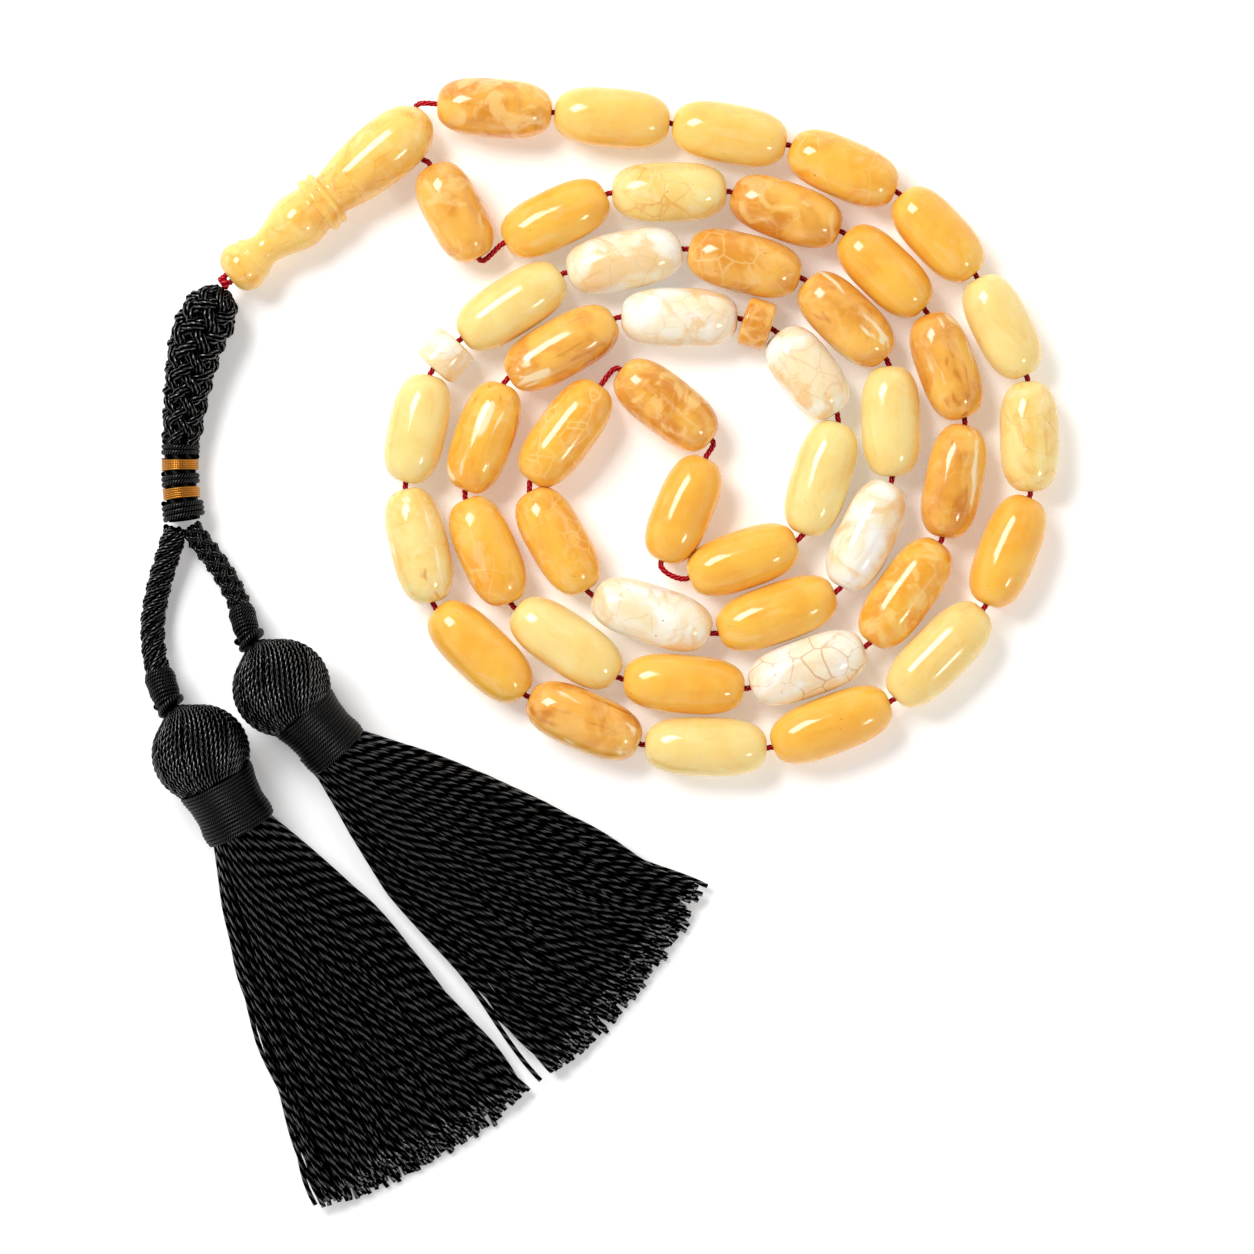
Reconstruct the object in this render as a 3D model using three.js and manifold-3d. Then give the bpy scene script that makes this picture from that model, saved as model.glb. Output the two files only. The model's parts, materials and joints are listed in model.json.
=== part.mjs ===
// Misbaha (prayer beads): 45 barrel beads and two divider beads on one red string, laid flat in a
// double spiral. Both ends of the string run through the turned imam bead to a black braided stem,
// which carries two thread tassels. Millimetres, +Z up, X and Y centred on the whole object,
// Z = 0 is the table that everything lies on.
import * as THREE from 'three';
import { mergeVertices } from 'three/addons/utils/BufferGeometryUtils.js';
import Module from 'manifold-3d';

const wasm = await Module();
wasm.setup();

// ---- Driving dimensions: beads and string ----------------------------------------------------
const BEADS_PER_SET = 15;
const BEAD_LENGTH = 18;
const BEAD_RADIUS = 4.5;
const BEAD_BORE = 1.0;
const BEAD_STATIONS = [-0.95, -0.78, -0.42, 0, 0.42, 0.78, 0.95];
const BEAD_SIDES = 12;

const DIVIDER_RADIUS = 3.7;
const DIVIDER_BORE = 1.1;
const DIVIDER_RIM = 2.8;
const DIVIDER_BEVEL = 0.8;
const DIVIDER_DROP = 0.3;
const DIVIDER_ROOM = 3.7;

const STRING_RADIUS = 0.45;
const STRING_SIDES = 8;
const PACKED_GAP = 0.42;
const GAP_PER_RADIAN = 1.35;
const CLEARANCE = 0.35;
const SLACK_BEND = 0.9;
const SLACK_STUB = 0.2;
const SLACK_STEPS = 6;
const FIRST_BEAD_TRAVEL = 1.6;

// ---- Driving dimensions: imam, a turned bead lying along its own axis -------------------------
const IMAM_FOOT = new THREE.Vector3(-57.4, 56.2, 4.9);
const IMAM_HEADING = THREE.MathUtils.degToRad(39.3);
const IMAM_LENGTH = 38.9;
const IMAM_BORE = 1.6;
const IMAM_SIDES = 20;
const EXIT_BORE = 1.25;
const EXIT_PLACE = 33.2;
const STRAND_OFFSET = 0.62;
const STRING_TAIL = 0.5;
// Way out of each exit bore near the tip, as [aside, along the axis, up].
const EXIT_WAY = new THREE.Vector3(0.55, 0.68, -0.48).normalize();
const EXIT_REACH = 5.4;
const BORE_BEYOND_EXITS = 0.9;
const STRAND_BEND = 1.6;
const STRAND_BEND_STEPS = 4;
// Its outline from the foot to the tip, as [along the axis, radius].
const IMAM_OUTLINE = [
  [0, 2.0], [0.7, 3.1], [2.1, 3.85], [3.5, 3.75], [4.2, 3.4], [4.8, 3.5], [5.6, 3.0],
  [6.9, 2.55], [8.8, 2.95], [11.2, 3.85], [13.4, 4.35], [15.4, 4.1], [16.5, 3.85],
  [17.0, 4.5], [17.6, 4.72], [18.1, 4.4], [18.5, 4.25], [19.0, 4.6], [19.5, 4.3],
  [20.0, 3.45], [21.4, 3.75], [24.5, 4.4], [28.2, 4.8], [31.4, 4.88], [34.2, 4.62],
  [36.2, 3.95], [37.6, 2.95], [38.5, 1.75],
];

// ---- Driving dimensions: stem, legs and tassels ------------------------------------------------
// Routes are centre lines from the imam downwards. A profile is [along the route, radius].
const SOFT_SIDES = 16;
const STEM_ROUTE = [
  [-58.5, 54.2, 4.9], [-60.5, 50.6, 4.7], [-62.3, 46.8, 4.4], [-63.7, 40.5, 3.8],
  [-64.8, 31.9, 3.2], [-65.0, 27.2, 3.1], [-64.7, 22.6, 3.35], [-64.2, 18.7, 3.5],
];
const STEM_DOME = 4.4;
const STEM_END_RADIUS = 2.6;
const STEM_PROFILE = [
  [8.0, 4.35], [14.5, 3.7], [24.0, 2.85], [24.5, 3.0], [26.9, 3.0], [27.0, 2.2],
  [29.1, 2.2], [29.2, 3.0], [31.4, 3.0], [31.5, 2.2], [33.4, 2.2], [33.5, 3.2], [35.0, 3.35],
  [36.4, 3.1],
];
const BAND_INNER = 2.55;
const BAND_OUTER = 2.85;
const BAND_SPANS = { gold_band_upper: [27.35, 28.8], gold_band_lower: [31.85, 33.1] };

const LEG_ROUTES = {
  left: [[-66.3, 15.9, 3.3], [-68.2, 9.8, 2.4], [-69.2, 4.0, 2.3], [-68.7, -1.8, 3.4],
    [-66.8, -7.6, 5.5]],
  right: [[-62.2, 16.6, 3.1], [-58.7, 11.8, 2.3], [-56.2, 7.2, 3.0], [-54.6, 2.3, 5.5]],
};
const LEG_RADII = { left: 2.0, right: 1.7 };
const LEG_END_RADIUS = 2.1;
const BINDING_LENGTH = 5.5;
const BINDING_STEP = 0.3;

const HEAD_CENTRES = { left: [-61.5, -15.8, 7.6], right: [-49.3, -5.9, 7.6] };
const HEAD_RADIUS = 7.6;
const HEAD_SIDES = 20;
const HEAD_RINGS = 10;

// Collars and skirts run on from the head along this heading, and dip towards the table.
const TASSEL_HEADINGS = { left: -62.5, right: -49 };
const COLLAR_DIP = THREE.MathUtils.degToRad(8.5);
const COLLAR_RADII = { left: 5.5, right: 5.0 };
const COLLAR_START = 8.0;
const COLLAR_END = 13.2;
const COLLAR_CUP = { depth: 1.2, radius: 4.2, floor: 2.8, floorDepth: 0.5 };
const COLLAR_LIP = { depth: 0.9, thickness: 0.6 };
const COLLAR_SHOULDER = { length: 1.5, drop: 1.8 };

const SKIRT_HEADINGS = { left: -60.5, right: -38.7 };
const SKIRT_GAP = 1.2;
const SKIRT_LENGTH = 56;
const SKIRT_SIDES = 16;
const SKIRT_FLAT = 0.75;
// Half width and height of the fan of threads, as [along it, half width, height].
const SKIRT_FAN = [
  [0, 5.0, 9.6], [0.14, 8.4, 9.2], [0.32, 11.6, 8.4], [0.5, 13.6, 7.8], [0.68, 15.0, 7.3],
  [0.85, 16.9, 7.0], [1, 18.8, 6.6],
];

// ---- Where bead meets bead along the string, in X and Y ----------------------------------------
// Each list is one packed run of beads, and free string lies between one run and the next.
// Dividers are the short stretches.
const RUNS = [
  [
    [-26.0, 82.6], [-8.4, 81.3], [9.5, 79.7], [27.2, 75.9], [44.0, 69.0], [56.0, 56.5],
    [63.8, 41.0], [64.2, 23.3], [57.3, 6.2], [43.1, -7.8], [24.5, -15.0], [5.1, -14.6],
    [-12.4, -7.2], [-26.6, 6.4], [-30.9, 24.7], [-27.0, 42.0], [-22.3, 46.6], [-6.5, 56.8],
    [11.8, 60.8], [29.8, 56.3], [42.7, 43.6], [43.1, 25.6], [35.0, 8.7], [16.0, 2.3],
    [-3.1, 8.2], [-12.5, 24.7], [-1.1, 39.9],
  ],
  [[1.9, 42.3], [15.7, 31.6]],
  [[14.8, 28.8], [8.2, 13.2]],
  [
    [12.8, 10.1], [29.9, 15.9], [34.9, 34.7], [25.3, 48.2], [20.0, 50.0], [1.4, 50.4],
    [-15.8, 41.0], [-21.8, 23.4], [-14.6, 6.4], [1.6, -4.8], [21.0, -5.7], [39.3, 0.7],
    [50.8, 16.5], [54.3, 34.6], [48.2, 51.3], [35.8, 63.6], [18.5, 69.5], [0.2, 69.1],
    [-15.6, 61.6],
  ],
  [[-19.6, 59.2], [-26.9, 73.2]],
];

// ---- Finishes ------------------------------------------------------------------------------------
const finish = (color, roughness, metalness = 0) => ({ color, roughness, metalness });
const FINISHES = {
  pale: finish('#f8e0a0', 0.15),
  yellow: finish('#f5c667', 0.15),
  golden: finish('#f2ad42', 0.15),
  brown: finish('#d9993f', 0.15),
  marbled: finish('#f6e9d2', 0.15),
  string: finish('#a01020', 0.7),
  thread: finish('#0c0c0e', 0.6),
  gold: finish('#c9974a', 0.35, 1),
};
const LOOKS = { P: 'pale', Y: 'yellow', G: 'golden', B: 'brown', M: 'marbled' };
const BEAD_LOOKS = 'BYYGGPPGPGPBGPP' + 'PMBBPMGMGGBGGPM' + 'MBGGPGMGBBGBPGB';
const DIVIDER_LOOKS = 'MB';

const misbaha = new THREE.Group();
misbaha.name = 'misbaha';

function add(name, geometry, look) {
  const mesh = new THREE.Mesh(geometry, new THREE.MeshStandardMaterial(FINISHES[look]));
  mesh.name = name;
  misbaha.add(mesh);
  return mesh;
}

// ---- Threading the beads --------------------------------------------------------------------------
// A bead's radius at a place along it, from -1 at one end to 1 at the other: a barrel with full,
// rounded shoulders.
const barrelRadius = (place) => BEAD_RADIUS * (1 - Math.abs(place) ** 3) ** (1 / 2.2);

// Discs that fill a bead's outline seen from above, as [place along it, radius].
function discInside(place) {
  const outline = Array.from({ length: 101 }, (_, n) => n / 50 - 1);
  const away = (t) => Math.hypot(((t - place) * BEAD_LENGTH) / 2, barrelRadius(t));
  return [place, Math.min(...outline.map(away))];
}
const BEAD_DISCS = [-0.75, -0.6, -0.4, -0.2, 0, 0.2, 0.4, 0.6, 0.75].map(discInside);
const DIVIDER_DISCS = [[0, DIVIDER_ROOM]];

// Each bead spans from one junction to the next, and neighbours in a run share one junction.
const threaded = [];
for (const run of RUNS) {
  const junctions = run.map(([x, y]) => new THREE.Vector2(x, y));
  for (let n = 1; n < junctions.length; n += 1) {
    const a = junctions[n - 1];
    const b = junctions[n];
    threaded.push({ a, b, length: a.distanceTo(b), endsRun: n === junctions.length - 1 });
  }
}
for (const [n, bead] of threaded.entries()) {
  const before = Math.floor(n / (BEADS_PER_SET + 1));
  bead.divider = n % (BEADS_PER_SET + 1) === BEADS_PER_SET;
  const number = bead.divider ? before + 1 : n + 1 - before;
  bead.name = bead.divider ? `divider_${number}` : `bead_${String(number).padStart(2, '0')}`;
  bead.look = LOOKS[(bead.divider ? DIVIDER_LOOKS : BEAD_LOOKS)[number - 1]];
  bead.discs = bead.divider ? DIVIDER_DISCS : BEAD_DISCS;
}

// Eases two discs apart until the clearance is between them, moving the ends of both beads.
function push(one, other, [placeOne, radiusOne], [placeOther, radiusOther]) {
  const shareOne = (1 + placeOne) / 2;
  const shareOther = (1 + placeOther) / 2;
  const centreOne = one.a.clone().lerp(one.b, shareOne);
  const apart = other.a.clone().lerp(other.b, shareOther).sub(centreOne);
  const excess = radiusOne + radiusOther + CLEARANCE - apart.length();
  if (excess <= 0) return;
  apart.setLength(excess / 2);
  one.a.addScaledVector(apart, shareOne - 1);
  one.b.addScaledVector(apart, -shareOne);
  other.a.addScaledVector(apart, 1 - shareOther);
  other.b.addScaledVector(apart, shareOther);
}

// Moves a bead's ends evenly until it has its own length again.
function keepLength({ a, b, length }) {
  const along = b.clone().sub(a);
  along.setLength((along.length() - length) / 2);
  a.add(along);
  b.sub(along);
}

// Lets the beads settle side by side until all of them are clear of each other. Neighbours on the
// string are left out, because the gap on the string keeps those apart.
const SETTLING_ROUNDS = 200;
for (let round = 0; round < SETTLING_ROUNDS; round += 1) {
  for (let i = 0; i < threaded.length; i += 1) {
    for (let j = i + 1; j < threaded.length; j += 1) {
      if (j === i + 1 && !threaded[i].endsRun) continue;
      for (const disc of threaded[i].discs) {
        for (const otherDisc of threaded[j].discs) {
          push(threaded[i], threaded[j], disc, otherDisc);
        }
      }
    }
  }
  threaded.forEach(keepLength);
}

// Shortens each bead at both ends, by the gap that it keeps to the next one. Beads that meet at an
// angle need more room, so that their shoulders stay clear.
const heading = ({ a, b }) => b.clone().sub(a).normalize();
const gaps = threaded.map((bead, n) => {
  if (bead.endsRun) return 0;
  const turn = Math.acos(Math.min(1, heading(bead).dot(heading(threaded[n + 1]))));
  return PACKED_GAP + GAP_PER_RADIAN * turn;
});
for (const [n, bead] of threaded.entries()) {
  const along = heading(bead);
  const height = BEAD_RADIUS - (bead.divider ? DIVIDER_DROP : 0);
  const entry = bead.a.clone().addScaledVector(along, (gaps[n - 1] ?? 0) / 2);
  const exit = bead.b.clone().addScaledVector(along, -gaps[n] / 2);
  bead.along = new THREE.Vector3(along.x, along.y, 0);
  bead.entry = new THREE.Vector3(entry.x, entry.y, height);
  bead.exit = new THREE.Vector3(exit.x, exit.y, height);
  bead.span = entry.distanceTo(exit);
}

// ---- Beads and dividers ------------------------------------------------------------------------------
// Turned about Y: up the bore on the inside and back along the barrel on the outside.
function beadProfile(length) {
  const barrel = BEAD_STATIONS.map((t) => new THREE.Vector2(barrelRadius(t), (t * length) / 2));
  const bore = [new THREE.Vector2(BEAD_BORE, length / 2), new THREE.Vector2(BEAD_BORE, -length / 2)];
  return [...barrel, ...bore, barrel[0]];
}

function dividerProfile(length) {
  const end = length / 2;
  const outline = [
    [DIVIDER_BORE, -end], [DIVIDER_RIM, -end], [DIVIDER_RADIUS, DIVIDER_BEVEL - end],
    [DIVIDER_RADIUS, end - DIVIDER_BEVEL], [DIVIDER_RIM, end], [DIVIDER_BORE, end],
    [DIVIDER_BORE, -end],
  ];
  return outline.map(([radius, y]) => new THREE.Vector2(radius, y));
}

const UP_Y = new THREE.Vector3(0, 1, 0);
for (const bead of threaded) {
  const profile = bead.divider ? dividerProfile(bead.span) : beadProfile(bead.span);
  const mesh = add(bead.name, new THREE.LatheGeometry(profile, BEAD_SIDES), bead.look);
  mesh.position.lerpVectors(bead.entry, bead.exit, 0.5);
  mesh.quaternion.setFromUnitVectors(UP_Y, bead.along);
}

// ---- Imam ------------------------------------------------------------------------------------------------
const imamAxis = new THREE.Vector3(Math.cos(IMAM_HEADING), Math.sin(IMAM_HEADING), 0);
const imamSide = new THREE.Vector3(-imamAxis.y, imamAxis.x, 0);
const inImam = (along, side) =>
  IMAM_FOOT.clone().addScaledVector(imamAxis, along).addScaledVector(imamSide, side);

// A closed mesh as a solid for joining and cutting, and back.
function toSolid(geometry) {
  const bare = geometry.clone();
  bare.deleteAttribute('normal');
  bare.deleteAttribute('uv');
  const merged = mergeVertices(bare);
  return new wasm.Manifold(new wasm.Mesh({
    numProp: 3,
    vertProperties: merged.getAttribute('position').array,
    triVerts: Uint32Array.from(merged.index.array),
  }));
}

function fromSolid(solid) {
  const { vertProperties, triVerts } = solid.getMesh();
  const geometry = new THREE.BufferGeometry();
  geometry.setAttribute('position', new THREE.BufferAttribute(vertProperties, 3));
  geometry.setIndex(new THREE.BufferAttribute(triVerts, 1));
  return geometry;
}

// Turned solid with a blind bore from the foot, which meets two exit bores near the tip.
const boreEnd = EXIT_PLACE + BORE_BEYOND_EXITS;
const imamProfile = [
  [0, boreEnd], [IMAM_BORE, boreEnd], [IMAM_BORE, 0],
  ...IMAM_OUTLINE.map(([along, radius]) => [radius, along]), [0, IMAM_LENGTH],
].map(([radius, along]) => new THREE.Vector2(radius, along));
let turnedImam = toSolid(new THREE.LatheGeometry(imamProfile, IMAM_SIDES));
for (const side of [-1, 1]) {
  const exit = new THREE.CylinderGeometry(EXIT_BORE, EXIT_BORE, 2 * EXIT_REACH, SOFT_SIDES);
  const way = new THREE.Vector3(-side * EXIT_WAY.x, EXIT_WAY.y, EXIT_WAY.z);
  exit.translate(0, EXIT_REACH, 0);
  exit.applyQuaternion(new THREE.Quaternion().setFromUnitVectors(UP_Y, way));
  exit.translate(-side * STRAND_OFFSET, EXIT_PLACE, 0);
  turnedImam = turnedImam.subtract(toSolid(exit));
}
const imam = add('imam', fromSolid(turnedImam), 'yellow');
imam.position.copy(IMAM_FOOT);
imam.quaternion.setFromUnitVectors(UP_Y, imamAxis);

// ---- String ----------------------------------------------------------------------------------------------
// A path whose steps fall exactly on its own points, so that the string is straight inside each bore
// and bends only between beads.
class PointPath extends THREE.Curve {
  constructor(points) {
    super();
    this.points = points;
  }

  getPointAt(u) {
    const place = u * (this.points.length - 1);
    const n = Math.min(Math.floor(place), this.points.length - 2);
    return this.points[n].clone().lerp(this.points[n + 1], place - n);
  }

  getTangentAt(u) {
    const last = this.points.length - 1;
    const n = Math.round(u * last);
    const before = this.points[n].clone().sub(this.points[Math.max(n - 1, 0)]).normalize();
    const after = this.points[Math.min(n + 1, last)].clone().sub(this.points[n]).normalize();
    return before.add(after).normalize();
  }
}

// Free string between two places, leaving one in its heading and coming into the other in its own,
// straight for a while before it gets there.
function slack(from, fromHeading, to, toHeading, straight) {
  const start = from.clone().addScaledVector(fromHeading, SLACK_STUB);
  const end = to.clone().addScaledVector(toHeading, -straight);
  const reach = start.distanceTo(end) * SLACK_BEND * 0.5;
  const bend = new THREE.CubicBezierCurve3(
    start,
    start.clone().addScaledVector(fromHeading, reach),
    end.clone().addScaledVector(toHeading, -reach),
    end,
  );
  return bend.getPoints(SLACK_STEPS);
}

// One strand in the imam: up the bore beside the other strand, and out through its own exit bore.
const exitWay = (side) => imamSide.clone().multiplyScalar(side * EXIT_WAY.x)
  .addScaledVector(imamAxis, EXIT_WAY.y).setZ(EXIT_WAY.z);
const inExit = (side, reach) =>
  inImam(EXIT_PLACE, side * STRAND_OFFSET).addScaledVector(exitWay(side), reach);

function strandInImam(side) {
  const bend = new THREE.QuadraticBezierCurve3(
    inImam(EXIT_PLACE - STRAND_BEND, side * STRAND_OFFSET),
    inExit(side, 0),
    inExit(side, STRAND_BEND),
  );
  const foot = inImam(-STRING_TAIL, side * STRAND_OFFSET);
  return [foot, ...bend.getPoints(STRAND_BEND_STEPS), inExit(side, EXIT_REACH)];
}

const firstStrand = strandInImam(1);
const lastStrand = strandInImam(-1).reverse();
const stringPoints = [...firstStrand];
let leaves = firstStrand.at(-1);
let leavesAlong = exitWay(1);
for (const [n, bead] of threaded.entries()) {
  if (n === 0 || threaded[n - 1].endsRun) {
    const straight = n === 0 ? FIRST_BEAD_TRAVEL : SLACK_STUB;
    stringPoints.push(...slack(leaves, leavesAlong, bead.entry, bead.along, straight));
  }
  stringPoints.push(bead.entry, bead.exit);
  leaves = bead.exit;
  leavesAlong = bead.along;
}
const homeward = exitWay(-1).negate();
stringPoints.push(...slack(leaves, leavesAlong, lastStrand[0], homeward, SLACK_STUB), ...lastStrand);

const ringOf = (sides, radius) => Array.from({ length: sides }, (_, n) => {
  const angle = (2 * Math.PI * n) / sides;
  return new THREE.Vector2(radius * Math.cos(angle), radius * Math.sin(angle));
});
add('string', new THREE.ExtrudeGeometry(new THREE.Shape(ringOf(STRING_SIDES, STRING_RADIUS)), {
  steps: stringPoints.length - 1,
  extrudePath: new PointPath(stringPoints),
  bevelEnabled: false,
}), 'string');

// ---- Soft parts turned about a centre line ------------------------------------------------------------------
// Lays a solid turned about Y along a route: its height becomes the distance along the route, its X
// stays level and its Z stands up.
function layAlong(geometry, route, length) {
  const position = geometry.getAttribute('position');
  const point = new THREE.Vector3();
  for (let n = 0; n < position.count; n += 1) {
    point.fromBufferAttribute(position, n);
    const share = THREE.MathUtils.clamp(point.y / length, 0, 1);
    const along = route.getTangentAt(share);
    const level = new THREE.Vector3(along.y, -along.x, 0).normalize();
    const up = level.clone().cross(along);
    const beyond = point.y - share * length;
    const place = route.getPointAt(share).addScaledVector(along, beyond);
    place.addScaledVector(level, point.x).addScaledVector(up, point.z);
    position.setXYZ(n, place.x, place.y, place.z);
  }
  return geometry;
}

const routeOf = (points) => new THREE.CatmullRomCurve3(points.map((p) => new THREE.Vector3(...p)));
const turned = (outline, sides) =>
  new THREE.LatheGeometry(outline.map(([along, radius]) => new THREE.Vector2(radius, along)), sides);

// The quarter circle of a domed end, from the axis outwards, or towards it.
function dome(centre, radius, direction) {
  const angles = [0, 30, 60, 90].map(THREE.MathUtils.degToRad);
  const arc = angles.map((a) => [centre + direction * radius * Math.cos(a), radius * Math.sin(a)]);
  return direction < 0 ? arc : arc.reverse();
}

// Stem, with the grooves that the gold bands sit in.
const stemRoute = routeOf(STEM_ROUTE);
const stemLength = stemRoute.getLength();
const stemOutline = [...dome(STEM_DOME, STEM_DOME, -1), ...STEM_PROFILE,
  [stemLength, STEM_END_RADIUS], [stemLength, 0]];
add('stem_braid', layAlong(turned(stemOutline, SOFT_SIDES), stemRoute, stemLength), 'thread');

for (const [name, [start, end]] of Object.entries(BAND_SPANS)) {
  const outline = [[start, BAND_INNER], [start, BAND_OUTER], [end, BAND_OUTER], [end, BAND_INNER],
    [start, BAND_INNER]];
  add(name, layAlong(turned(outline, SOFT_SIDES), stemRoute, stemLength), 'gold');
}

// Legs: a rounded end at the fork, the cord, and the binding that ends in a knot above the head.
for (const [side, points] of Object.entries(LEG_ROUTES)) {
  const legRoute = routeOf(points);
  const length = legRoute.getLength();
  const radius = LEG_RADII[side];
  const binding = length - BINDING_LENGTH;
  const outline = [...dome(0, radius, -1), [binding, radius], [binding + BINDING_STEP, LEG_END_RADIUS],
    ...dome(length, LEG_END_RADIUS, 1)];
  add(`leg_${side}`, layAlong(turned(outline, SOFT_SIDES), legRoute, length), 'thread');
}

// Heads, collars and skirts.
for (const side of ['left', 'right']) {
  const centre = new THREE.Vector3(...HEAD_CENTRES[side]);
  const head = add(`head_${side}`, new THREE.SphereGeometry(HEAD_RADIUS, HEAD_SIDES, HEAD_RINGS), 'thread');
  head.position.copy(centre);

  const bearing = THREE.MathUtils.degToRad(TASSEL_HEADINGS[side]);
  const along = new THREE.Vector3(Math.cos(bearing), Math.sin(bearing), -Math.tan(COLLAR_DIP));
  along.normalize();
  head.quaternion.setFromUnitVectors(UP_Y, along);
  const radius = COLLAR_RADII[side];
  const outline = [
    [COLLAR_START, 0], [COLLAR_START - COLLAR_CUP.floorDepth, COLLAR_CUP.floor],
    [COLLAR_START - COLLAR_CUP.depth, COLLAR_CUP.radius],
    [COLLAR_START - COLLAR_LIP.depth, radius - COLLAR_LIP.thickness], [COLLAR_START, radius],
    [COLLAR_END - COLLAR_SHOULDER.length, radius],
    [COLLAR_END, radius - COLLAR_SHOULDER.drop], [COLLAR_END, 0],
  ];
  const collar = add(`collar_${side}`, turned(outline, SOFT_SIDES), 'thread');
  collar.position.copy(centre);
  collar.quaternion.setFromUnitVectors(UP_Y, along);

  const start = centre.clone().addScaledVector(along, COLLAR_END + SKIRT_GAP);
  add(`skirt_${side}`, skirtFrom(start, THREE.MathUtils.degToRad(SKIRT_HEADINGS[side])), 'thread');
}

// A fan of threads that lies on the table: its section goes from nearly round at the collar to wide
// and low at the cut ends, and its underside is flat.
function skirtFrom(start, bearing) {
  const stations = SKIRT_FAN.length - 1;
  const geometry = new THREE.CylinderGeometry(1, 1, 1, SKIRT_SIDES, stations);
  const position = geometry.getAttribute('position');
  for (let n = 0; n < position.count; n += 1) {
    const station = Math.round((0.5 - position.getY(n)) * stations);
    const [share, halfWidth, height] = SKIRT_FAN[station];
    const aside = position.getX(n) * halfWidth;
    const lift = (position.getZ(n) + SKIRT_FLAT) / (1 + SKIRT_FLAT);
    const out = share * SKIRT_LENGTH;
    position.setXYZ(
      n,
      start.x + out * Math.cos(bearing) - aside * Math.sin(bearing),
      start.y + out * Math.sin(bearing) + aside * Math.cos(bearing),
      height * Math.max(lift, 0),
    );
  }
  return geometry;
}

// Centres the whole object over the origin; its heights stay as they are.
const middle = new THREE.Box3().setFromObject(misbaha, true).getCenter(new THREE.Vector3());
misbaha.position.set(-middle.x, -middle.y, 0);

export default misbaha;
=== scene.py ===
"""Misbaha prayer beads on a pale table: amber beads and a turned imam on a red string, with a
braided black stem and two thread tassels. Metres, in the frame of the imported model."""
import json
import math

import bpy
import numpy as np
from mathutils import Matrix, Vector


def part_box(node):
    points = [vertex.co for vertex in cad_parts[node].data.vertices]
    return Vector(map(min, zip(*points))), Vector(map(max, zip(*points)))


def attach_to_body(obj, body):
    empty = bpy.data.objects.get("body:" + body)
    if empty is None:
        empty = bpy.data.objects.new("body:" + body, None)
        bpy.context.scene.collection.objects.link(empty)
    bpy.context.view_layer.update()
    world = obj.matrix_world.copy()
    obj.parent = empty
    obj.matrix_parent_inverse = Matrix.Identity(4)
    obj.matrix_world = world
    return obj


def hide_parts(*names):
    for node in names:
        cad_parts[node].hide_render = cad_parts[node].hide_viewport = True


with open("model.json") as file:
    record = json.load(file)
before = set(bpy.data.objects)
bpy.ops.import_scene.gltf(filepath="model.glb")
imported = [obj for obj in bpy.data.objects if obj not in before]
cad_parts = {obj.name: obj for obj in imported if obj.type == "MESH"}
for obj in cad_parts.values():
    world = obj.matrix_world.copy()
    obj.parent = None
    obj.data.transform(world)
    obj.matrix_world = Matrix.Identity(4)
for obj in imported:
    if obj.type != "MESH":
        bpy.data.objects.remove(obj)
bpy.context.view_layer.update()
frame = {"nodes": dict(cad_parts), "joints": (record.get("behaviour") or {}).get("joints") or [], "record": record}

# ---- Camera, light and table ----
# A camera straight above the table, a soft box to the upper left that draws one long streak on
# each bead, a weaker one opposite it, a room that is bright at the sides and dark overhead, and
# a pale matt table.
MM = 0.001
VIEW_WIDTH = 191.2 * MM
VIEW_CENTRE = (3.9 * MM, 3.2 * MM)
CAMERA_HEIGHT = 850 * MM
TABLE_SIZE = 4.0
TABLE_GLOW = 0.22
# Grains in a metre of the table's surface, each a little over a millimetre across.
TABLE_GRAINS = 900.0
UP = np.array([0.0, 0.0, 1.0])


def linear(hexadecimal):
    """sRGB hex to linear RGBA: c / 12.92 below 0.04045, else ((c + 0.055) / 1.055) ** 2.4."""
    value = hexadecimal.lstrip("#")
    parts = [int(value[n:n + 2], 16) / 255 for n in (0, 2, 4)]
    return (*[c / 12.92 if c <= 0.04045 else ((c + 0.055) / 1.055) ** 2.4 for c in parts], 1.0)


def add_node(tree, kind, inputs=None, **settings):
    """Adds a shader node, sets its properties, and gives its sockets values or links."""
    made = tree.nodes.new("ShaderNode" + kind)
    for name, value in settings.items():
        setattr(made, name, value)
    for name, value in (inputs or {}).items():
        if isinstance(value, bpy.types.NodeSocket):
            tree.links.new(value, made.inputs[name])
        else:
            made.inputs[name].default_value = value
    return made


def new_material(name):
    """An empty node material, and its node tree with a linked Principled shader."""
    material = bpy.data.materials.new(name)
    material.use_nodes = True
    tree = material.node_tree
    tree.nodes.clear()
    shader = add_node(tree, "BsdfPrincipled")
    add_node(tree, "OutputMaterial", {"Surface": shader.outputs["BSDF"]})
    return material, tree, shader


def area_light(name, place, size, power, colour):
    """A rectangular lamp at place, facing the middle of the table."""
    data = bpy.data.lights.new(name, "AREA")
    data.shape = "RECTANGLE"
    data.size, data.size_y = size
    data.energy = power
    data.color = linear(colour)[:3]
    lamp = bpy.data.objects.new(name, data)
    bpy.context.collection.objects.link(lamp)
    lamp.location = place
    away = np.array(place)
    pitch = math.atan2(math.hypot(away[0], away[1]), away[2])
    lamp.rotation_euler = (pitch, 0, math.atan2(away[0], -away[1]))


camera = bpy.data.objects.new("camera", bpy.data.cameras.new("camera"))
bpy.context.collection.objects.link(camera)
camera.location = (*VIEW_CENTRE, CAMERA_HEIGHT)
camera.data.sensor_width = 36
camera.data.lens = 36 * CAMERA_HEIGHT / VIEW_WIDTH
bpy.context.scene.camera = camera

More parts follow.
